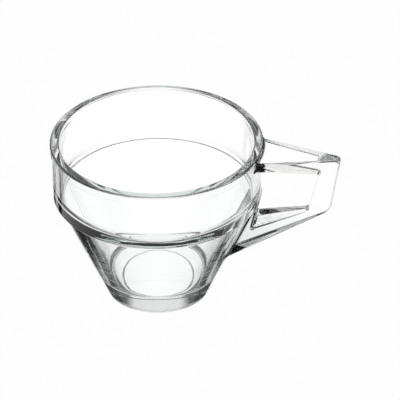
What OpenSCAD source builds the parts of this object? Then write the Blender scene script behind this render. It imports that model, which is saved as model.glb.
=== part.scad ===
// Glass cup with an upper band, a tapered bowl, a thick base and an angular handle.
// The origin is the centre of the ring it stands on, +Z is up and the handle points along +X.

/* [Cup] */
// Outer diameter over the lip
rim_d = 84; // [74:1:96]
// Height from the table to the top of the lip
cup_h = 69.3; // [62:0.1:80]
// Diameter of the cup where it meets the table
foot_d = 42.8; // [36:0.2:48]
// Thickness of the glass wall in the band and at the top of the bowl
wall_t = 3.3; // [2.8:0.1:4]
// Thickness of the bowl's wall at the foot, where it is thickest
foot_wall_t = 4.4; // [3.6:0.1:5.6]

/* [Lip] */
// Height of the thickened lip
lip_h = 3.7; // [3:0.1:6]
// How far the lip stands out from the band
lip_proud = 0.45; // [0.2:0.05:0.9]
// Rounding of the lip's outer edge
lip_outer_r = 0.9; // [0.5:0.1:1.6]
// Rounding of the lip's inner edge
lip_inner_r = 0.8; // [0.4:0.1:1.2]

/* [Upper band] */
// Height of the band, lip included
band_h = 24.7; // [20:0.1:30]
// Rounding of the band's lower edge
band_edge_r = 1.6; // [0.8:0.1:1.8]
// Width of the ledge under the band
ledge_w = 1.7; // [1:0.1:2.5]
// Radius of the inner bend between the band and the bowl
bend_r = 12; // [6:0.5:16]

/* [Base] */
// Thickness of the glass under the inner floor
floor_t = 8.9; // [7:0.1:10]
// Radius of the inner corner between the floor and the bowl
floor_corner_r = 4; // [3:0.5:8]
// Rounding of the outer edge at the table
heel_r = 0.8; // [0.4:0.1:1.2]
// Diameter of the recess in the underside
recess_d = 30.6; // [26:0.2:34]
// Depth of the recess in the underside
recess_t = 0.6; // [0.3:0.1:1.2]

/* [Handle] */
// Reach of the handle beyond the lip
handle_reach = 31.2; // [26:0.1:38]
// Step down from the top of the lip to the top of the handle
handle_drop = 1; // [0.9:0.1:2]
// Width of the handle where it leaves the band
handle_root_w = 19.8; // [14:0.2:24]
// Width of the handle at its outer top corner
handle_tip_w = 3.8; // [3:0.1:8]
// Width of the handle where the lower arm ends on the bowl
handle_foot_w = 17.4; // [10:0.2:20]

/* [Upper arm] */
// Depth of the upper arm at the band
arm_root_t = 4.4; // [4:0.1:7]
// Depth of the upper arm at the grip
arm_tip_t = 6.3; // [4.5:0.1:8]

/* [Grip] */
// Height from the grip's outer bottom corner to the top of the handle
grip_h = 24.7; // [20:0.1:30]
// Thickness of the grip at the upper arm
grip_top_t = 8.4; // [6:0.1:9.6]
// Thickness of the grip at the lower arm
grip_low_t = 8.8; // [6:0.1:10]
// How far the grip leans in from top to bottom
grip_lean = 3.4; // [0:0.1:6]
// Rounding of the grip's outer bottom corner
grip_corner_r = 2.5; // [1:0.1:4]
// Rounding of the grip's outer top corner
grip_nose_r = 1.5; // [0.4:0.1:2]

/* [Lower arm] */
// Drop from the band's lower edge to where the lower arm's underside meets the bowl
strut_low_drop = 22; // [18:0.2:26]
// Drop from the band's lower edge to where the lower arm's top meets its root
strut_top_drop = 8.4; // [4:0.2:10]
// How far the root stands in from the band at the lower arm's top
root_set_in = 2.4; // [1:0.1:3.2]

/* [Hidden] */
glass = [0.80, 0.87, 0.84, 0.5];
// Points on each rounded corner of an outline
corner_steps = 8;
// Overrun of every cut past the surface it cuts
overrun = wall_t;
$fn = 120;

// Radii and heights of the outside
lip_r = rim_d / 2;
band_r = lip_r - lip_proud;
bowl_top_r = band_r - ledge_w;
foot_r = foot_d / 2;
band_z = cup_h - band_h;
lip_z = cup_h - lip_h;
// Lean of the bowl from upright
bowl_angle = atan((bowl_top_r - foot_r) / band_z);
bowl_slope = (bowl_top_r - foot_r) / band_z;

// Radii and heights of the inside, whose wall thickens from the ledge down to the foot
inner_r = band_r - wall_t;
inner_foot_r = foot_r - foot_wall_t / cos(bowl_angle);
inner_slope = (bowl_top_r - wall_t / cos(bowl_angle) - inner_foot_r) / band_z;
bend_z = (inner_r - inner_foot_r) / inner_slope;
floor_edge_r = inner_foot_r + floor_t * inner_slope;
// Height of the plane between the base and the bowl wall, where the floor's corner ends
base_z = floor_t + floor_corner_r * (1 - sin(atan(inner_slope)));

// Corners of the handle, seen from the side
handle_z = cup_h - handle_drop;
tip_x = lip_r + handle_reach;
tip_low_x = tip_x - grip_lean;
tip_low_z = handle_z - grip_h;
// The handle's outlines start inside the wall and the wall's outer shape is cut away from them
inside_x = foot_r;
arm_slope = (arm_tip_t - arm_root_t) / (tip_x - grip_top_t - band_r);
arm_inner_low = [inside_x, handle_z - arm_root_t + arm_slope * (band_r - inside_x)];
grip_in_top = [tip_x - grip_top_t, handle_z - arm_tip_t];
grip_in_low = [tip_low_x - grip_low_t, tip_low_z];
grip_in_slope = (grip_in_top[0] - grip_in_low[0]) / (grip_in_top[1] - grip_in_low[1]);
grip_seam_top = [grip_in_top[0] + grip_in_slope * arm_tip_t, handle_z];
// The grip ends above its rounded outer bottom corner, which belongs to the lower arm
grip_seam_low = [tip_low_x + grip_lean * grip_corner_r / grip_h, tip_low_z + grip_corner_r];
strut_low_z = band_z - strut_low_drop;
strut_top_z = band_z - strut_top_drop;
strut_root_top = [band_r - root_set_in, strut_top_z];
strut_root_low = [foot_r + bowl_slope * strut_low_z, strut_low_z];
strut_slope = (tip_low_z - strut_low_z) / (tip_low_x - strut_root_low[0]);
strut_inner_low = [inside_x, strut_low_z - strut_slope * (strut_root_low[0] - inside_x)];
// The root's outer face rises from the lower arm to the band, just above the band's rounded lower edge
root_top = [band_r, band_z + band_edge_r];

// Taper of the handle's sides, in half width for each unit of reach and of drop
side_per_x = (handle_root_w - handle_tip_w) / 2 / (tip_x - band_r);
side_per_z = ((handle_root_w - handle_foot_w) / 2 - side_per_x * (strut_root_low[0] - band_r))
    / (handle_z - strut_low_z);
side_length = sqrt(1 + side_per_x * side_per_x + side_per_z * side_per_z);
side_tilt = asin(side_per_z / side_length);
side_turn = atan(side_per_x);

function unit(v) = v / norm(v);

// Points of the arc that rounds the corner q between its neighbours p and s
function rounded(p, q, s, r) =
    let (
        to_p = unit(p - q),
        to_s = unit(s - q),
        half = acos(to_p * to_s) / 2,
        centre = q + unit(to_p + to_s) * r / sin(half),
        from = q + to_p * r / tan(half) - centre,
        to = q + to_s * r / tan(half) - centre,
        start = atan2(from[1], from[0]),
        turn = atan2(to[1], to[0]) - start,
        sweep = turn > 180 ? turn - 360 : turn < -180 ? turn + 360 : turn
    )
    [for (i = [0 : corner_steps])
        centre + r * [cos(start + sweep * i / corner_steps), sin(start + sweep * i / corner_steps)]];

// Outline whose corners are [point, radius], with a radius of 0 for a sharp one
function outline(corners) =
    let (n = len(corners))
    [for (i = [0 : n - 1])
        let (
            p = corners[(i + n - 1) % n][0],
            q = corners[i],
            s = corners[(i + 1) % n][0]
        )
        each (q[1] == 0 ? [q[0]] : rounded(p, q[0], s, q[1]))];

outer_corners = [
    [[foot_r, 0], heel_r],
    [[bowl_top_r, band_z], 0],
    [[band_r, band_z], band_edge_r],
    [[band_r, lip_z], 0],
    [[lip_r, lip_z + lip_proud], 0],
    [[lip_r, cup_h], lip_outer_r]
];
inner_corners = [
    [[inner_r, cup_h], lip_inner_r],
    [[inner_r, bend_z], bend_r],
    [[floor_edge_r, floor_t], floor_corner_r],
    [[0, floor_t], 0]
];
recess_corners = [
    [[0, recess_t], 0],
    [[recess_d / 2 - recess_t, recess_t], 0],
    [[recess_d / 2, 0], 0]
];

// Section of the whole wall, from the axis outwards
module wall_section() {
    polygon(outline(concat(outer_corners, inner_corners, recess_corners)));
}

// Ring of the wall between two heights
module wall_ring(low, high) {
    rotate_extrude()
    intersection() {
        wall_section();
        translate([0, low])
        square([rim_d, high - low]);
    }
}

// The cup's outer shape, filled to the axis
module filled_cup() {
    rotate_extrude()
    polygon(outline(concat(outer_corners, [[[0, cup_h], 0], [[0, 0], 0]])));
}

// Half space beyond one side face of the handle
module beyond_side() {
    reach = rim_d + handle_reach;
    translate([band_r, handle_root_w / 2, handle_z])
    rotate([-side_tilt, 0, -side_turn])
    translate([-reach, 0, -reach])
    cube([2 * reach, rim_d, 2 * reach]);
}

// A piece of the handle: an outline seen from the side, tapered in width and cut to seat on the wall
module handle_piece(corners) {
    difference() {
        translate([0, handle_root_w, 0])
        rotate([90, 0, 0])
        linear_extrude(2 * handle_root_w)
        polygon(outline(corners));
        filled_cup();
        beyond_side();
        mirror([0, 1, 0])
        beyond_side();
    }
}

module lip() {
    color(glass)
    wall_ring(lip_z, cup_h + overrun);
}

module upper_band() {
    color(glass)
    wall_ring(band_z, lip_z);
}

module bowl_wall() {
    color(glass)
    wall_ring(base_z, band_z);
}

module base() {
    color(glass)
    wall_ring(-overrun, base_z);
}

module handle_upper_arm() {
    color(glass)
    handle_piece([
        [[inside_x, handle_z], 0],
        [arm_inner_low, 0],
        [grip_in_top, 0],
        [grip_seam_top, 0]
    ]);
}

module handle_grip() {
    color(glass)
    handle_piece([
        [grip_in_low, 0],
        [grip_seam_low, 0],
        [[tip_x, handle_z], grip_nose_r],
        [grip_seam_top, 0]
    ]);
}

module handle_lower_arm() {
    color(glass)
    handle_piece([
        [strut_inner_low, 0],
        [[tip_low_x, tip_low_z], grip_corner_r],
        [grip_seam_low, 0],
        [grip_in_low, 0],
        [strut_root_top, 0],
        [root_top, 0],
        [[inside_x, root_top[1]], 0]
    ]);
}

lip();
upper_band();
bowl_wall();
base();
handle_upper_arm();
handle_grip();
handle_lower_arm();
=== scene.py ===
import math

import bpy
import numpy as np
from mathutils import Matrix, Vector
from mathutils.geometry import delaunay_2d_cdt

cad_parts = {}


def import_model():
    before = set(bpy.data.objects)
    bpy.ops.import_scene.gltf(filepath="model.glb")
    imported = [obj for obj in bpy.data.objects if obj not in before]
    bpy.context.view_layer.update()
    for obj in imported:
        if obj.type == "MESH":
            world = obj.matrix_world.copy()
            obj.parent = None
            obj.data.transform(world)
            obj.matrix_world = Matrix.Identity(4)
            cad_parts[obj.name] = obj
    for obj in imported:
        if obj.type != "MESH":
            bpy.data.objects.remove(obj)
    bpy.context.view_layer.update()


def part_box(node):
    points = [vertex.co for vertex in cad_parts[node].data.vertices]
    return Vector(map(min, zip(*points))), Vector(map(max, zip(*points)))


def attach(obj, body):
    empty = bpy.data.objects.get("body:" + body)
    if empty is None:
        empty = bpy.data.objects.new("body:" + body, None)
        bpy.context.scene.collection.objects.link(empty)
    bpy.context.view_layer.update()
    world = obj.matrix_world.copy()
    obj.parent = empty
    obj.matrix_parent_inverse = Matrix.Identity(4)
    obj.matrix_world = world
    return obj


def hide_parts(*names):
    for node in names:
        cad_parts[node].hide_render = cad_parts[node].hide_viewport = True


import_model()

MM = 0.001
NODES = ["lip", "upper_band", "bowl_wall", "base", "handle_upper_arm", "handle_grip", "handle_lower_arm"]

# Sizes of the cup, read from the frame where a node's box gives them.
LIP_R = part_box("lip")[1].y
CUP_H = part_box("lip")[1].z
LIP_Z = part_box("lip")[0].z
BAND_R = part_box("upper_band")[1].y
BAND_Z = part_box("upper_band")[0].z
WALL = 3.3 * MM
FOOT_WALL = 4.4 * MM
LEDGE_W = 1.7 * MM
FOOT_R = 21.4 * MM
FLOOR_T = 8.9 * MM
RECESS_R = 15.3 * MM
RECESS_T = 0.6 * MM
BOWL_TOP_R = BAND_R - LEDGE_W
BOWL_SLOPE = (BOWL_TOP_R - FOOT_R) / BAND_Z
BOWL_COS = 1 / math.hypot(1, BOWL_SLOPE)

# Roundings of the cup.
LIP_OUTER_R = 0.9 * MM
LIP_INNER_R = 0.8 * MM
LIP_STEP_R = 0.5 * MM
BAND_EDGE_R = 1.5 * MM
LEDGE_R = 0.25 * MM
BEND_R = 12 * MM
FLOOR_CORNER_R = 4 * MM
HEEL_R = 0.8 * MM
RECESS_EDGE_R = 0.9 * MM

# Thicknesses, drops and set-backs of the handle's arms and grip.
ARM_ROOT_T = 4.4 * MM
ARM_TIP_T = 6.3 * MM
GRIP_TOP_T = 8.4 * MM
GRIP_LOW_T = 8.8 * MM
GRIP_LEAN = 3.4 * MM
GRIP_H = 24.7 * MM
STRUT_SET_IN = 2.4 * MM
STRUT_TOP_DROP = 8.4 * MM
STRUT_LOW_DROP = 22 * MM

# Corners of the handle seen from the side, as (x, z).
HANDLE_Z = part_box("handle_grip")[1].z
TIP_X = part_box("handle_grip")[1].x
ARM_ROOT = (BAND_R, HANDLE_Z - ARM_ROOT_T)
GRIP_IN_TOP = (TIP_X - GRIP_TOP_T, HANDLE_Z - ARM_TIP_T)
TIP_LOW = (TIP_X - GRIP_LEAN, HANDLE_Z - GRIP_H)
GRIP_IN_LOW = (TIP_LOW[0] - GRIP_LOW_T, TIP_LOW[1])
STRUT_TOP = (BAND_R - STRUT_SET_IN, BAND_Z - STRUT_TOP_DROP)
STRUT_LOW_Z = BAND_Z - STRUT_LOW_DROP
STRUT_LOW = (FOOT_R + BOWL_SLOPE * STRUT_LOW_Z, STRUT_LOW_Z)
ROOT_TOP = (BAND_R, BAND_Z + BAND_EDGE_R)

# Half width of the handle at its root, tip and foot, and its roundings.
ROOT_HALF_W = 9.9 * MM
TIP_HALF_W = 1.9 * MM
FOOT_HALF_W = 8.7 * MM
HANDLE_EDGE_R = 0.9 * MM
TIP_R = 1.9 * MM
TIP_LOW_R = 2.5 * MM
GAP_CORNER_R = 1.4 * MM
ROOT_FILLET_R = 1.0 * MM

# Columns of the cup's mesh: the narrow step near the handle, how many of them are on each side of its middle,
# and how many steps make up the rest of the turn.
NEAR_STEP = math.radians(0.5)
NEAR_COLUMNS = 44
FAR_COLUMNS = 180
# Rows of the cup's mesh: the most that an arc turns in one step, and the least length of a straight step.
ARC_STEP = math.radians(7)
STRAIGHT_STEP = 2.2 * MM
# Heights closer than this are the same.
LEVEL = 0.001 * MM

# Grid of the handle's mesh, and the room round the handle in it.
GRID_STEP = 0.34 * MM
GRID_ROOM = 2 * MM
# How deep the handle's roots run into the wall, and how far the handle's mesh goes on past the fillet.
ROOT_DEPTH = 0.6 * MM
KEEP_MARGIN = 0.35 * MM
# The patch of wall behind the handle: how far it goes on below it, how close its points come to the handle's
# mesh, and the distance in millimetres at which two of them are one.
PATCH_DROP = 3 * MM
PATCH_GAP = 0.15 * MM
SAME_POINT_MM = 1e-7

# How points are moved onto the surface: half the distance over which a slope is measured, the number of
# moves, and the least slope that a move counts with, so that none is too long.
PROBE = 0.02 * MM
SETTLE_STEPS = 6
LEAST_SLOPE = 0.5

# Glass: index of refraction, and the colour and density that tint light on its way through.
GLASS_IOR = 1.52
GLASS_TINT = (0.53, 0.63, 0.61, 1)
GLASS_DENSITY = 13
# Faint unevenness of pressed glass: the width of a ripple, and the height it stands out.
RIPPLE_W = 9 * MM
RIPPLE_H = 0.02 * MM
# The line where the two halves of the mould meet, in the plane of the handle: half its width, and its height.
SEAM_HALF_W = 0.2 * MM
SEAM_H = 0.02 * MM
# How often light is followed from face to face inside the glass: light trapped for longer stays dark.
LIGHT_BOUNCES = 13

# The floor: half its side in metres, how far it lies below the cup, its own colour, and how much of what the
# camera sees of it is glow.
FLOOR_HALF = 5.0
FLOOR_DROP = 0.05 * MM
FLOOR_COLOUR = (0.9, 0.9, 0.9, 1)
FLOOR_GLOW = 0.985

# The photograph's view. Lengths are in metres, and the focal length and the picture's width are in pixels.
CAMERA_AZIMUTH = math.radians(10.0)
CAMERA_ELEVATION = math.radians(33.656)
CAMERA_DISTANCE = 0.8114
TARGET_X = 0.01703
TARGET_Z = 0.04048
FOCAL_PX = 2027
FRAME_PX = 400
SENSOR_MM = 36

# Colours of the studio, and of its light above and below the horizon.
WHITE = (1, 1, 1, 1)
PANEL_WHITE = (1.03, 0.99, 0.985, 1)
CARD_BLACK = (0.03, 0.03, 0.03, 1)
WARM = (1, 0.985, 0.975)
PLAIN = (1, 1, 1)
# The studio that the glass sees, as (elevation in degrees, brightness) from straight down to straight up.
# AHEAD is beyond the cup as the camera sees it, and the others follow on both sides up to BEHIND.
DOWN = [(-90, 1.0), (-80, 0.9)]
UP = [(60, 0.4), (90, 0.4)]
AHEAD = [(-90, 1.0), (-75, 1.05), (-48, 1.05), (-40, 1.1), (8, 1.1), (20, 1.05), (50, 1.05)] + UP
NEAR = DOWN + [
    (-70, 0.1), (-45, 0.05), (-38, 0.9), (-18, 0.9), (-10, 0.3), (0, 0.1), (20, 0.03), (50, 0.03),
] + UP
FLANK = DOWN + [
    (-60, 0.5), (-52, 0.1), (-45, 0.1), (-38, 0.9), (-10, 0.8), (15, 0.4), (22, 0.03), (50, 0.03),
] + UP
SIDE = DOWN + [
    (-58, 0.3), (-48, 0.05), (-42, 0.1), (-36, 0.9), (-10, 0.8), (0, 0.3), (15, 0.25), (22, 0.05), (50, 0.05),
] + UP
BEHIND = DOWN + [(-68, 0.4), (-42, 0.1), (-38, 0.9), (-10, 1.05), (15, 1.05), (22, 0.2), (50, 0.2)] + UP
# The zones after AHEAD, each with the two angles in degrees over which it takes over.
ZONES = [((16, 22), NEAR), ((48, 56), FLANK), ((76, 86), SIDE), ((122, 132), BEHIND)]
# A warm soft panel ahead above the horizon, and two black cards to the left below it. Each has its left,
# right, lower and upper edge, as the two angles in degrees over which the edge fades, and its colour.
PANEL = ((-34, -20), (20, 34), (26, 30), (46, 50), PANEL_WHITE)
NEAR_CARD = ((-31, -28), (-21, -18), (-42, -38), (-31, -28), CARD_BLACK)
FAR_CARD = ((-52, -49), (-42, -39), (-42, -38), (-31, -28), CARD_BLACK)

# Sockets of a colour Mix node, which go by number because other kinds of its sockets share their names.
MIX_FACTOR = 0
MIX_START = 6
MIX_END = 7
MIX_RESULT = 2

# All but the last and all but the first along an axis of an array.
LOWER = slice(None, -1)
UPPER = slice(1, None)


def unit(v):
    """A vector with its length set to 1."""
    return v / np.linalg.norm(v)


def outward(along):
    """The outward normal of an outline that runs along a direction."""
    along = unit(along)
    return np.array([along[1], -along[0]])


def arc(previous, corner, following, radius):
    """Points and outward normals of the arc that rounds a corner between its neighbours."""
    before, after = unit(previous - corner), unit(following - corner)
    half = math.acos(np.clip(before @ after, -1, 1)) / 2
    centre = corner + unit(before + after) * radius / math.sin(half)
    start = corner + before * radius / math.tan(half) - centre
    turn = math.pi - 2 * half
    if start[0] * after[1] - start[1] * after[0] < 0:
        turn = -turn
    steps = max(2, math.ceil(abs(turn) / ARC_STEP))
    points, normals = [], []
    for k in range(steps + 1):
        c, s = math.cos(turn * k / steps), math.sin(turn * k / steps)
        spoke = np.array([c * start[0] - s * start[1], s * start[0] + c * start[1]])
        points.append(centre + spoke)
        normals.append(spoke / radius * (1 if turn > 0 else -1))
    return points, normals


def rounded_outline(corners):
    """Points along an open outline of (r, z, radius) corners, with the outward normal at each point."""
    places = [np.array(corner[:2]) for corner in corners]
    points, normals = [places[0]], [outward(places[1] - places[0])]

    def straight_to(end, normal):
        start = points[-1]
        count = int(np.linalg.norm(end - start) / STRAIGHT_STEP)
        for i in range(1, count):
            points.append(start + (end - start) * i / count)
            normals.append(normal)

    for i in range(1, len(corners) - 1):
        arc_points, arc_normals = arc(*places[i - 1:i + 2], corners[i][2])
        straight_to(arc_points[0], outward(places[i] - places[i - 1]))
        points += arc_points
        normals += arc_normals
    last_normal = outward(places[-1] - places[-2])
    straight_to(places[-1], last_normal)
    return np.array(points + [places[-1]]), np.array(normals + [last_normal])


def cup_outline():
    """The section of the cup's wall from the middle of the underside, up the outside and down the inside."""
    inner_r = BAND_R - WALL
    inner_foot_r = FOOT_R - FOOT_WALL / BOWL_COS
    inner_slope = (BOWL_TOP_R - WALL / BOWL_COS - inner_foot_r) / BAND_Z
    bend_z = (inner_r - inner_foot_r) / inner_slope
    return rounded_outline([
        (0, RECESS_T, 0),
        (RECESS_R - RECESS_T, RECESS_T, RECESS_EDGE_R),
        (RECESS_R, 0, RECESS_EDGE_R),
        (FOOT_R, 0, HEEL_R),
        (BOWL_TOP_R, BAND_Z, LEDGE_R),
        (BAND_R, BAND_Z, BAND_EDGE_R),
        (BAND_R, LIP_Z, LIP_STEP_R),
        (LIP_R, LIP_Z + (LIP_R - BAND_R), LIP_STEP_R),
        (LIP_R, CUP_H, LIP_OUTER_R),
        (inner_r, CUP_H, LIP_INNER_R),
        (inner_r, bend_z, BEND_R),
        (inner_foot_r + FLOOR_T * inner_slope, FLOOR_T, FLOOR_CORNER_R),
        (0, FLOOR_T, 0),
    ])


def rounded_max(a, b, radius):
    """Intersection of two distances with a rounded edge."""
    corner = np.hypot(np.maximum(a + radius, 0), np.maximum(b + radius, 0))
    return np.minimum(np.maximum(a, b), -radius) + corner


def rounded_min(a, b, radius):
    """Union of two distances with a fillet."""
    return -rounded_max(-a, -b, radius)


def wall_distance(p):
    """Distance to the outside of the band and the bowl, filled to the axis and endless upwards."""
    r, z = np.hypot(p[..., 0], p[..., 1]), p[..., 2]
    bowl = np.maximum((r - FOOT_R - BOWL_SLOPE * z) * BOWL_COS, z - ROOT_TOP[1])
    band = rounded_max(r - BAND_R, BAND_Z - z, BAND_EDGE_R)
    return rounded_min(bowl, band, LEDGE_R)


def cup_distance(p):
    """Distance to the outside of the cup above its foot, filled to the axis."""
    r, z = np.hypot(p[..., 0], p[..., 1]), p[..., 2]
    lip = rounded_max(r - LIP_R, (LIP_Z - z + r - BAND_R) / math.sqrt(2), LIP_STEP_R)
    return rounded_max(rounded_min(wall_distance(p), lip, LIP_STEP_R), z - CUP_H, LIP_OUTER_R)


def beyond(p, start, end):
    """Distance in the XZ plane past the line from start to end, positive to its left."""
    dx, dz = end[0] - start[0], end[1] - start[1]
    return ((p[..., 2] - start[1]) * dx - (p[..., 0] - start[0]) * dz) / math.hypot(dx, dz)


def outer_distance(p):
    """Distance to the handle's outline seen from the side, without its finger gap."""
    outer = rounded_max(p[..., 2] - HANDLE_Z, beyond(p, (TIP_X, HANDLE_Z), TIP_LOW), TIP_R)
    return rounded_max(outer, beyond(p, TIP_LOW, STRUT_LOW), TIP_LOW_R)


def gap_distance(p):
    """Distance to the finger gap seen from the side."""
    gap = rounded_max(beyond(p, ARM_ROOT, GRIP_IN_TOP), beyond(p, GRIP_IN_TOP, GRIP_IN_LOW), GAP_CORNER_R)
    gap = rounded_max(gap, beyond(p, GRIP_IN_LOW, STRUT_TOP), GAP_CORNER_R)
    root = rounded_min(beyond(p, STRUT_TOP, ROOT_TOP), ROOT_TOP[1] - p[..., 2], GAP_CORNER_R)
    return rounded_max(gap, root, GAP_CORNER_R)


def side_distance(p):
    """Distance to the space between the handle's two tapering side faces."""
    per_x = (ROOT_HALF_W - TIP_HALF_W) / (TIP_X - BAND_R)
    per_z = (ROOT_HALF_W - FOOT_HALF_W - per_x * (STRUT_LOW[0] - BAND_R)) / (HANDLE_Z - STRUT_LOW[1])
    half_width = ROOT_HALF_W - per_x * (p[..., 0] - BAND_R) - per_z * (HANDLE_Z - p[..., 2])
    return (np.abs(p[..., 1]) - half_width) / math.sqrt(1 + per_x ** 2 + per_z ** 2)


def handle_distance(p):
    """Distance to the handle, which runs a little way into the wall."""
    body = rounded_max(np.maximum(outer_distance(p), -gap_distance(p)), side_distance(p), HANDLE_EDGE_R)
    return np.maximum(body, -ROOT_DEPTH - wall_distance(p))


def glass_distance(p):
    """Distance to the outside of the cup and its handle, joined by a fillet."""
    return rounded_min(cup_distance(p), handle_distance(p), ROOT_FILLET_R)


def slope_of(distance, p):
    """Gradient of a distance at many points, by central differences."""
    axes = np.eye(3) * PROBE
    return np.stack([(distance(p + a) - distance(p - a)) / (2 * PROBE) for a in axes], axis=-1)


def settled(p):
    """Points moved onto the glass surface along its gradient."""
    for _ in range(SETTLE_STEPS):
        g = slope_of(glass_distance, p)
        p = p - glass_distance(p)[:, None] * g / np.maximum((g * g).sum(-1), LEAST_SLOPE ** 2)[:, None]
    return p


def part(array, **ranges):
    """The part of an array in a range along some of its axes, which go by the names x, y and z."""
    pick = [ranges.get(name, slice(None)) for name in "xyz"]
    return array[tuple(pick)]


def cell_points(p, field, step):
    """For each cell of a grid, the mean place where the field is zero on its edges, and how often it is."""
    cells = tuple(n - 1 for n in field.shape)
    total, crossings = np.zeros(cells + (3,)), np.zeros(cells)
    for axis, name in enumerate("xyz"):
        first, second = "xyz".replace(name, "")
        a, b = part(field, **{name: LOWER}), part(field, **{name: UPPER})
        crossed = (a < 0) != (b < 0)
        share = np.where(crossed, a / np.where(crossed, a - b, 1), 0)
        point = part(p, **{name: LOWER}) + share[..., None] * np.eye(3)[axis] * step
        for i in (LOWER, UPPER):
            for j in (LOWER, UPPER):
                edge = {first: i, second: j}
                total += np.where(part(crossed, **edge)[..., None], part(point, **edge), 0)
                crossings += part(crossed, **edge)
    return total / np.maximum(crossings, 1)[..., None], crossings


def cell_quads(inside, number):
    """Quads of cell numbers across the edges of a grid that have one end inside, wound to face outwards."""
    turns = ((LOWER, LOWER), (UPPER, LOWER), (UPPER, UPPER), (LOWER, UPPER))
    quads = []
    for name, first, second in ("xyz", "yzx", "zxy"):
        inner = {first: slice(1, -1), second: slice(1, -1)}
        a, b = part(inside, **inner, **{name: LOWER}), part(inside, **inner, **{name: UPPER})
        around = np.stack([part(number, **{first: i, second: j}) for i, j in turns], axis=-1)
        quads.append(around[a & ~b])
        quads.append(around[b & ~a][:, ::-1])
    return np.concatenate(quads)


def grid_surface(distance, low, high, step):
    """Quads round the zero surface of a distance on a regular grid, one vertex in each cell it crosses."""
    axes = [np.arange(low[i], high[i] + step, step) for i in range(3)]
    p = np.stack(np.meshgrid(*axes, indexing="ij"), axis=-1)
    field = np.concatenate([distance(slab)[None] for slab in p])
    points, crossings = cell_points(p, field, step)
    active = crossings > 0
    number = np.full(active.shape, -1)
    number[active] = np.arange(active.sum())
    return points[active], cell_quads(field < 0, number)


def open_edges(faces):
    """The edges that only one face uses."""
    edges = {}
    for face in faces.tolist():
        for a, b in zip(face, face[1:] + face[:1]):
            edges[(a, b)] = True
    return [(a, b) for a, b in edges if (b, a) not in edges]


def boundary_loops(faces):
    """Closed loops of the edges that only one face uses."""
    follow = dict(open_edges(faces))
    loops = []
    while follow:
        loop = [next(iter(follow))]
        while loop[-1] in follow:
            loop.append(follow.pop(loop[-1]))
        loops.append(np.array(loop[:-1]))
    return loops


def inside_loop(points, loop):
    """Whether each point of the plane lies inside a closed loop."""
    inside = np.zeros(len(points), bool)
    for (x0, y0), (x1, y1) in zip(loop, np.roll(loop, -1, axis=0)):
        if y0 == y1:
            continue
        crosses = (y0 > points[:, 1]) != (y1 > points[:, 1])
        inside ^= crosses & (points[:, 0] < (x1 - x0) * (points[:, 1] - y0) / (y1 - y0) + x0)
    return inside


def handle_mesh():
    """Vertices and quads of the handle and of the strip of wall round its roots."""
    low_x = math.sqrt(STRUT_LOW[0] ** 2 - ROOT_HALF_W ** 2)
    low = (low_x - GRID_ROOM, -ROOT_HALF_W - GRID_ROOM, STRUT_LOW[1] - GRID_ROOM)
    high = (TIP_X + GRID_ROOM, ROOT_HALF_W + GRID_ROOM, HANDLE_Z + GRID_ROOM)
    vertices, quads = grid_surface(glass_distance, low, high, GRID_STEP)
    vertices = settled(vertices)
    reach = handle_distance(vertices)
    kept = (reach[quads] < ROOT_FILLET_R + KEEP_MARGIN).any(axis=1)
    # Where the strip's edge touches itself at a vertex, the quads round that vertex are kept too.
    while True:
        starts, counts = np.unique([a for a, b in open_edges(quads[kept])], return_counts=True)
        pinched = np.isin(quads, starts[counts > 1]).any(axis=1) & ~kept
        if not pinched.any():
            break
        kept |= pinched
    used, quads = np.unique(quads[kept], return_inverse=True)
    return vertices[used], quads.reshape(-1, 4)


def column_angles():
    """The angle of each of the cup's columns about the axis, with the narrow steps near the handle first."""
    near = np.arange(-NEAR_COLUMNS, NEAR_COLUMNS + 1) * NEAR_STEP
    far = np.linspace(near[-1], near[0] + 2 * math.pi, FAR_COLUMNS + 1)[1:-1]
    return np.concatenate([near, far])


def turned(pairs, angles):
    """Points or normals in space from (r, z) pairs turned about the axis."""
    r, z = pairs[..., 0], pairs[..., 1]
    return np.stack([r * np.cos(angles), r * np.sin(angles), z + 0 * angles], axis=-1)


def cup_quads(rows, columns, patch_rows):
    """Quads between the cup's rows and columns, apart from those in the patch of wall behind the handle."""
    quads = []
    for row in range(rows - 1):
        for column in range(columns):
            if row in patch_rows and column < 2 * NEAR_COLUMNS:
                continue
            a, b = row * columns + column, row * columns + (column + 1) % columns
            quads.append((a, b, b + columns, a + columns))
    return quads


def seated(pairs, outline, normals, lengths):
    """For each (r, z) pair the nearest point of an outline, its normal and its length along the outline."""
    start, step = outline[:-1], np.diff(outline, axis=0)
    share = np.clip(((pairs[:, None] - start) * step).sum(-1) / (step * step).sum(-1), 0, 1)
    gap = np.linalg.norm(pairs[:, None] - start - share[..., None] * step, axis=-1)
    row = gap.argmin(axis=1)
    share = share[np.arange(len(row)), row]
    seat = outline[row] + share[:, None] * (outline[row + 1] - outline[row])
    normal = normals[row] * (1 - share[:, None]) + normals[row + 1] * share[:, None]
    return seat, normal, lengths[row] + share * (lengths[row + 1] - lengths[row])


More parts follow.
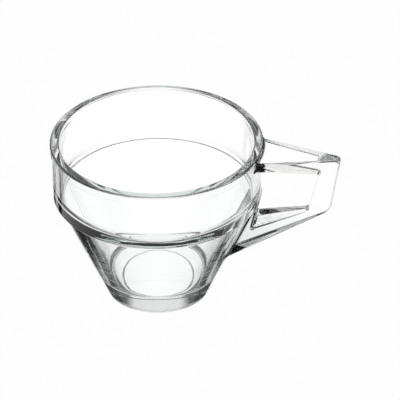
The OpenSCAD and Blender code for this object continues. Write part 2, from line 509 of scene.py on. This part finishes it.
def fill_patch(ids, flat, edge, loops, loop_flats):
    """Triangles of vertex numbers between a flat grid's edge and the closed loops that lie in it."""
    free = np.ones(len(ids), bool)
    for loop_flat in loop_flats:
        free &= ~inside_loop(flat, loop_flat)
        free &= np.linalg.norm(flat[:, None] - loop_flat, axis=-1).min(axis=1) > PATCH_GAP
    free |= edge
    ids, flat = list(ids[free]), list(flat[free])
    constraints = []
    for loop, loop_flat in zip(loops, loop_flats):
        first, count = len(ids), len(loop)
        ids += list(loop)
        flat += list(loop_flat)
        constraints += [(first + i, first + (i + 1) % count) for i in range(count)]
    # Type 0 fills the hull of all the points, and True asks for the points that each corner came from.
    made = delaunay_2d_cdt([Vector(f / MM) for f in flat], constraints, [], 0, SAME_POINT_MM, True)
    points = np.array([v[:] for v in made[0]]) * MM
    triangles = np.array(made[2])
    sources = [source[0] for source in made[3]]
    centres = points[triangles].mean(axis=1)
    keep = np.ones(len(triangles), bool)
    for loop_flat in loop_flats:
        keep &= ~inside_loop(centres, loop_flat)
    ids = np.array(ids)[sources]
    return [tuple(ids[triangle]) for triangle in triangles[keep]]


def build_cup():
    """Vertices, normals and faces of the whole cup as one closed surface, and the cup's rows and columns."""
    outline, outline_normals = cup_outline()
    lengths = np.concatenate([[0], np.cumsum(np.linalg.norm(np.diff(outline, axis=0), axis=1))])
    angles = column_angles()
    rows, columns = len(outline), len(angles)
    vertices = turned(outline[:, None], angles).reshape(-1, 3)
    normals = turned(outline_normals[:, None], angles).reshape(-1, 3)

    # The patch of wall behind the handle runs from below its foot to the inner edge of the lip's flat top.
    high_row = np.flatnonzero(outline[:, 1] > CUP_H - LEVEL)[-1]
    low_row = np.searchsorted(outline[:high_row, 1], STRUT_LOW[1] - PATCH_DROP) - 1
    faces = cup_quads(rows, columns, range(low_row, high_row))

    handle, quads = handle_mesh()
    handle_normals = slope_of(glass_distance, handle)
    handle_normals /= np.linalg.norm(handle_normals, axis=1)[:, None]
    handle_first = len(vertices)

    # The patch is laid out flat, as the arc at one radius and the length along the outline. The points on its
    # edge all stay, to close with the rest of the cup.
    flat_r = STRUT_LOW[0]
    patch_rows = np.arange(low_row, high_row + 1)[:, None]
    patch_columns = np.arange(2 * NEAR_COLUMNS + 1)
    ids = (patch_rows * columns + patch_columns).ravel()
    flat = np.stack([(angles[patch_columns] * flat_r + 0 * patch_rows).ravel(),
                     (lengths[patch_rows] + 0 * patch_columns).ravel()], axis=-1)
    edge = (flat[:, 1] == lengths[low_row]) | (flat[:, 1] == lengths[high_row])
    edge |= np.abs(flat[:, 0]) > (NEAR_COLUMNS - 0.5) * NEAR_STEP * flat_r

    # The edges of the handle's mesh are set exactly on the wall, so that they close with the patch.
    patch = slice(low_row, high_row + 1)
    loops, loop_flats = boundary_loops(quads), []
    for loop in loops:
        p = handle[loop]
        angle = np.arctan2(p[:, 1], p[:, 0])
        pairs = np.stack([np.hypot(p[:, 0], p[:, 1]), p[:, 2]], axis=-1)
        seat, normal, length = seated(pairs, outline[patch], outline_normals[patch], lengths[patch])
        handle[loop] = turned(seat, angle)
        handle_normals[loop] = turned(normal, angle)
        loop_flats.append(np.stack([angle * flat_r, length], axis=-1))

    faces += fill_patch(ids, flat, edge, [handle_first + loop for loop in loops], loop_flats)
    faces += [tuple(handle_first + quad) for quad in quads]
    vertices = np.concatenate([vertices, handle])
    normals = np.concatenate([normals, handle_normals])
    return vertices, normals, faces, rows, columns


def merged_faces(faces, merge):
    """Faces after some vertices are merged, without the ones that lose their area."""
    kept = []
    for face in faces:
        ring = list(dict.fromkeys(merge[list(face)].tolist()))
        if len(ring) > 2:
            kept.append(ring)
    return kept


def in_scene(name, data):
    """A new object in the scene."""
    made = bpy.data.objects.new(name, data)
    bpy.context.scene.collection.objects.link(made)
    return made


def glass_object():
    """The cup as a Blender object."""
    vertices, normals, faces, rows, columns = build_cup()
    # The ends of the outline lie on the axis, so each of those rows is one vertex.
    merge = np.arange(len(vertices))
    merge[:columns] = 0
    last = (rows - 1) * columns
    merge[last:last + columns] = last
    faces = merged_faces(faces, merge)
    used = np.unique(np.concatenate([np.array(face) for face in faces]))
    number = np.full(len(vertices), -1)
    number[used] = np.arange(len(used))
    mesh = bpy.data.meshes.new("glass_cup")
    mesh.from_pydata(vertices[used].tolist(), [], [number[face].tolist() for face in faces])
    mesh.validate()
    mesh.polygons.foreach_set("use_smooth", [True] * len(mesh.polygons))
    mesh.normals_split_custom_set_from_vertices(normals[used].tolist())
    mesh.update()
    return in_scene("glass_cup", mesh)


def cleared_tree(owner):
    """The shader tree of a material or of the world, without its first nodes."""
    owner.use_nodes = True
    owner.node_tree.nodes.clear()
    return owner.node_tree


def node(tree, kind, **values):
    """A shader node with some of its sockets set."""
    made = tree.nodes.new(kind)
    for name, value in values.items():
        made.inputs[name.replace("_", " ")].default_value = value
    return made


def feed(tree, value, socket):
    """Links a node's output to a socket, or sets the socket to a number or a colour."""
    if isinstance(value, bpy.types.NodeSocket):
        tree.links.new(value, socket)
    else:
        socket.default_value = value


def math_node(tree, operation, *values):
    """A math node's output, from other outputs or plain numbers."""
    made = tree.nodes.new("ShaderNodeMath")
    made.operation = operation
    for socket, value in zip(made.inputs, values):
        feed(tree, value, socket)
    return made.outputs[0]


def glass_height(tree):
    """How far the glass stands out from its smooth shape: ripples, and the seam in the handle's plane."""
    place = tree.nodes.new("ShaderNodeTexCoord")
    ripple = node(tree, "ShaderNodeTexNoise", Scale=1 / RIPPLE_W, Detail=1.0)
    tree.links.new(place.outputs["Object"], ripple.inputs["Vector"])
    split = tree.nodes.new("ShaderNodeSeparateXYZ")
    tree.links.new(place.outputs["Object"], split.inputs[0])
    away = math_node(tree, "ABSOLUTE", split.outputs["Y"])
    seam = node(tree, "ShaderNodeMapRange", From_Max=SEAM_HALF_W, To_Min=SEAM_H, To_Max=0.0)
    seam.interpolation_type = "SMOOTHSTEP"
    tree.links.new(away, seam.inputs["Value"])
    return math_node(tree, "ADD", math_node(tree, "MULTIPLY", ripple.outputs[0], RIPPLE_H), seam.outputs[0])


def glass_material():
    """Clear pressed glass: faintly uneven faces and a green tint that grows with depth."""
    material = bpy.data.materials.new("clear_glass")
    tree = cleared_tree(material)
    output = tree.nodes.new("ShaderNodeOutputMaterial")
    shader = node(tree, "ShaderNodeBsdfPrincipled", Base_Color=WHITE, Roughness=0.0, IOR=GLASS_IOR,
                  Transmission_Weight=1.0)
    depth = node(tree, "ShaderNodeVolumeAbsorption", Color=GLASS_TINT, Density=GLASS_DENSITY)
    height = glass_height(tree)
    bump = node(tree, "ShaderNodeBump", Strength=1.0, Distance=1.0)
    tree.links.new(height, bump.inputs["Height"])
    tree.links.new(bump.outputs[0], shader.inputs["Normal"])
    tree.links.new(shader.outputs["BSDF"], output.inputs["Surface"])
    tree.links.new(depth.outputs["Volume"], output.inputs["Volume"])
    return material


def floor_material():
    """White to the camera with a faint shadow, and clear to the glass, which sees the studio below."""
    material = bpy.data.materials.new("floor")
    tree = cleared_tree(material)
    output = tree.nodes.new("ShaderNodeOutputMaterial")
    lit = node(tree, "ShaderNodeBsdfDiffuse", Color=FLOOR_COLOUR)
    glow = node(tree, "ShaderNodeEmission", Color=WHITE, Strength=1.0)
    pale = node(tree, "ShaderNodeMixShader", Fac=FLOOR_GLOW)
    tree.links.new(lit.outputs[0], pale.inputs[1])
    tree.links.new(glow.outputs[0], pale.inputs[2])
    clear = node(tree, "ShaderNodeBsdfTransparent")
    path = tree.nodes.new("ShaderNodeLightPath")
    seen = tree.nodes.new("ShaderNodeMixShader")
    tree.links.new(path.outputs["Is Camera Ray"], seen.inputs[0])
    tree.links.new(clear.outputs[0], seen.inputs[1])
    tree.links.new(pale.outputs[0], seen.inputs[2])
    tree.links.new(seen.outputs[0], output.inputs["Surface"])
    return material


def floor():
    """The floor that the cup stands on."""
    mesh = bpy.data.meshes.new("floor")
    corners = [(x * FLOOR_HALF, y * FLOOR_HALF, -FLOOR_DROP) for x, y in ((-1, -1), (1, -1), (1, 1), (-1, 1))]
    mesh.from_pydata(corners, [], [(0, 1, 2, 3)])
    plane = in_scene("floor", mesh)
    mesh.materials.append(floor_material())


def ramp(tree, height, stops):
    """The light's colour by the height of a direction, from stops of (elevation in degrees, brightness)."""
    made = tree.nodes.new("ShaderNodeValToRGB")
    share = node(tree, "ShaderNodeMapRange", From_Min=-1)
    tree.links.new(height, share.inputs["Value"])
    tree.links.new(share.outputs[0], made.inputs[0])
    elements = made.color_ramp.elements
    while len(elements) < len(stops):
        elements.new(1.0)
    for element, (elevation, brightness) in zip(elements, stops):
        element.position = (1 + math.sin(math.radians(elevation))) / 2
        element.color = [brightness * channel for channel in (WARM if elevation > 0 else PLAIN)] + [1]
    return made.outputs[0]


def past(tree, angle, start, end):
    """How far an angle is past an edge that is soft between two angles in degrees, from 0 to 1."""
    share = node(tree, "ShaderNodeMapRange", From_Min=math.radians(start), From_Max=math.radians(end))
    share.interpolation_type = "SMOOTHSTEP"
    tree.links.new(angle, share.inputs["Value"])
    return share.outputs[0]


def window(tree, azimuth, elevation, left, right, low, high):
    """How far a direction is inside four soft edges, from 0 to 1."""
    inside = past(tree, azimuth, *left)
    for angle, edge, rising in ((azimuth, right, False), (elevation, low, True), (elevation, high, False)):
        share = past(tree, angle, *edge)
        if not rising:
            share = math_node(tree, "SUBTRACT", 1.0, share)
        inside = math_node(tree, "MULTIPLY", inside, share)
    return inside


def blend(tree, share, start, end):
    """The colour that turns from start to end as a share goes from 0 to 1."""
    mix = tree.nodes.new("ShaderNodeMix")
    mix.data_type = "RGBA"
    tree.links.new(share, mix.inputs[MIX_FACTOR])
    feed(tree, start, mix.inputs[MIX_START])
    feed(tree, end, mix.inputs[MIX_END])
    return mix.outputs[MIX_RESULT]


def world():
    """The studio: white to the camera, and to the glass its zones of light with the panel and the cards."""
    made = bpy.data.worlds.new("studio")
    bpy.context.scene.world = made
    tree = cleared_tree(made)
    output = tree.nodes.new("ShaderNodeOutputWorld")
    background = tree.nodes.new("ShaderNodeBackground")
    place = tree.nodes.new("ShaderNodeTexCoord")
    turn = node(tree, "ShaderNodeVectorRotate", Angle=-CAMERA_AZIMUTH)
    turn.rotation_type = "Z_AXIS"
    tree.links.new(place.outputs["Generated"], turn.inputs["Vector"])
    split = tree.nodes.new("ShaderNodeSeparateXYZ")
    tree.links.new(turn.outputs[0], split.inputs[0])
    height = split.outputs["Z"]
    azimuth = math_node(tree, "ARCTAN2", split.outputs["X"], split.outputs["Y"])
    elevation = math_node(tree, "ARCSINE", height)
    apart = math_node(tree, "ABSOLUTE", azimuth)
    light = ramp(tree, height, AHEAD)
    for edge, stops in ZONES:
        light = blend(tree, past(tree, apart, *edge), light, ramp(tree, height, stops))
    for *edges, colour in (PANEL, NEAR_CARD, FAR_CARD):
        light = blend(tree, window(tree, azimuth, elevation, *edges), light, colour)
    path = tree.nodes.new("ShaderNodeLightPath")
    seen = blend(tree, path.outputs["Is Camera Ray"], light, WHITE)
    tree.links.new(seen, background.inputs["Color"])
    tree.links.new(background.outputs[0], output.inputs["Surface"])


def camera():
    """A long lens that looks down on the cup from the -Y side, turned a little towards the handle."""
    right = Vector((math.cos(CAMERA_AZIMUTH), math.sin(CAMERA_AZIMUTH), 0))
    back = Vector((
        math.sin(CAMERA_AZIMUTH) * math.cos(CAMERA_ELEVATION),
        -math.cos(CAMERA_AZIMUTH) * math.cos(CAMERA_ELEVATION),
        math.sin(CAMERA_ELEVATION),
    ))
    data = bpy.data.cameras.new("camera")
    data.sensor_width = SENSOR_MM
    data.lens = FOCAL_PX * data.sensor_width / FRAME_PX
    made = in_scene("camera", data)
    made.location = right * TARGET_X + Vector((0, 0, TARGET_Z)) + back * CAMERA_DISTANCE
    made.rotation_mode = "QUATERNION"
    made.rotation_quaternion = (-back).to_track_quat("-Z", "Y")
    bpy.context.scene.camera = made


camera()
cup = glass_object()
cup.data.materials.append(glass_material())
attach(cup, "root")
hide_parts(*NODES)
floor()
world()
scene = bpy.context.scene
scene.view_settings.view_transform = "Standard"
scene.cycles.max_bounces = LIGHT_BOUNCES
scene.cycles.transmission_bounces = LIGHT_BOUNCES
scene.cycles.glossy_bounces = LIGHT_BOUNCES
